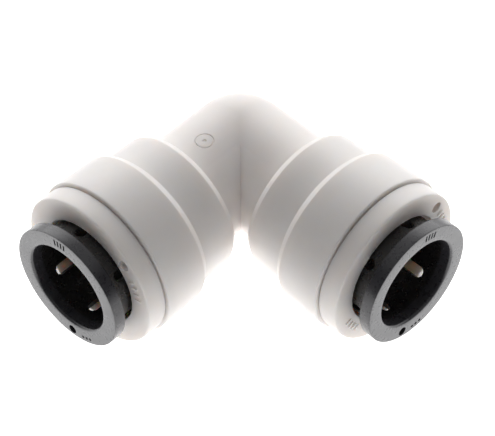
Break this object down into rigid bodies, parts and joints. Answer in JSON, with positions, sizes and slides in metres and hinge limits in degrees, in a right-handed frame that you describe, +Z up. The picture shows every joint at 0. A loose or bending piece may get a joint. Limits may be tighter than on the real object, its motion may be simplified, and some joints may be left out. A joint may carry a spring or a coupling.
{
  "type": "push to connect elbow fitting",
  "caption": "White right-angle push-to-connect tube fitting; each port has a screwless end cap and a slotted dark grey release collet with steel grip teeth around an O-ring seal.",
  "frame": {"origin": "centre of the bounding box in plan, at the height of the lowest point of the two bell rims, on which the fitting lies", "axes": "+Z up, square to the plane of the two port axes; the left port opens towards -Y and the right port towards +X"},
  "size_m": [0.0432, 0.0432, 0.0229],
  "materials": {
    "white_acetal": "satin moulded white plastic",
    "grey_acetal": "fine matt dark grey plastic",
    "seal_rubber": "black nitrile rubber",
    "spacer_acetal": "plain off-white plastic",
    "stainless_steel": "bright stamped stainless steel"
  },
  "bodies": {
    "fitting": {"elbow_body": "white_acetal", "left_end_cap": "white_acetal", "left_o_ring": "seal_rubber", "right_end_cap": "white_acetal", "right_o_ring": "seal_rubber"},
    "left_spacer": {"left_spacer_ring": "spacer_acetal"},
    "left_release": {"left_collet": "grey_acetal", "left_tooth_1": "stainless_steel", "left_tooth_2": "stainless_steel", "left_tooth_3": "stainless_steel", "left_tooth_4": "stainless_steel", "left_tooth_5": "stainless_steel", "left_tooth_6": "stainless_steel"},
    "right_spacer": {"right_spacer_ring": "spacer_acetal"},
    "right_release": {"right_collet": "grey_acetal", "right_tooth_1": "stainless_steel", "right_tooth_2": "stainless_steel", "right_tooth_3": "stainless_steel", "right_tooth_4": "stainless_steel", "right_tooth_5": "stainless_steel", "right_tooth_6": "stainless_steel"}
  },
  "joints": [
    {"name": "left_collet_spin", "type": "hinge", "parent": "fitting", "child": "left_spacer", "pos_m": [-0.01015, 0.01015, 0.01145], "axis": [0, -1, 0], "continuous": true},
    {"name": "left_collet_release", "type": "slide", "parent": "left_spacer", "child": "left_release", "axis": [0, 1, 0], "range_m": [0, 0.0018]},
    {"name": "right_collet_spin", "type": "hinge", "parent": "fitting", "child": "right_spacer", "pos_m": [-0.01015, 0.01015, 0.01145], "axis": [1, 0, 0], "continuous": true},
    {"name": "right_collet_release", "type": "slide", "parent": "right_spacer", "child": "right_release", "axis": [-1, 0, 0], "range_m": [0, 0.0018]}
  ]
}
